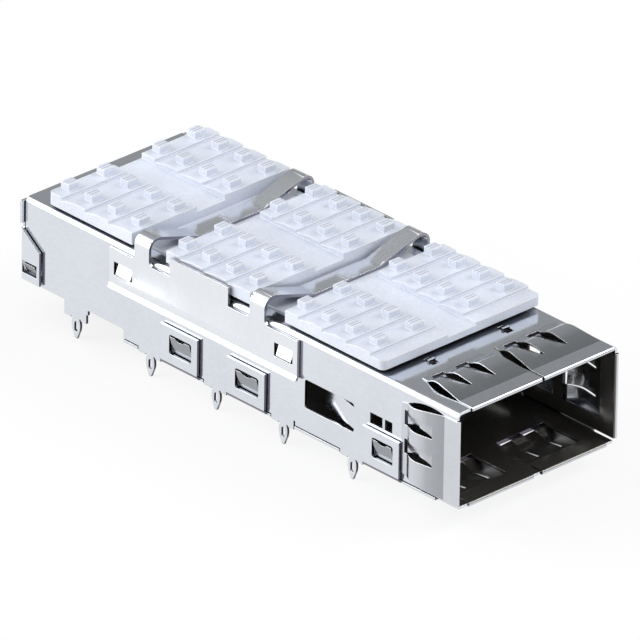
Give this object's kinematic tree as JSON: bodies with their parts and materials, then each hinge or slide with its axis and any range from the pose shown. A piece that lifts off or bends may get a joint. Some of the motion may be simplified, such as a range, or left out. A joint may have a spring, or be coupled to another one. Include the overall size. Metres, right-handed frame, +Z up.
{
  "type": "pluggable network module cage",
  "caption": "Folded sheet-metal cage for a pluggable network module, with press-fit board pins, contact springs round the mouth and a finned heat sink held on top by a spring clip.",
  "frame": {"origin": "on the host board's face, in the middle of the cage's width, midway between the first and the last pair of pins", "axes": "+X across the port, +Y from the mouth to the rear, +Z up from the host board"},
  "size_m": [0.02, 0.055, 0.0136],
  "materials": {
    "cage_sheet": "satin",
    "clip_sheet": "satin",
    "spring_sheet": "satin",
    "sink_metal": "satin"
  },
  "bodies": {
    "cage": {"cage_shell": "cage_sheet", "bottom_plate": "cage_sheet", "rear_cover": "cage_sheet", "heat_sink_clip": "clip_sheet", "spring_top_left": "spring_sheet", "spring_top_right": "spring_sheet", "spring_bottom_left": "spring_sheet", "spring_bottom_right": "spring_sheet", "spring_side_left": "spring_sheet", "spring_side_right": "spring_sheet"},
    "heat_sink": {"heat_sink": "sink_metal"}
  },
  "joints": [
    {"name": "heat_sink_lift", "type": "slide", "parent": "cage", "child": "heat_sink", "axis": [0, 0, 1], "range_m": [0, 0.0004], "stiffness_N_per_m": 2500, "deforming": ["heat_sink_clip"]}
  ]
}
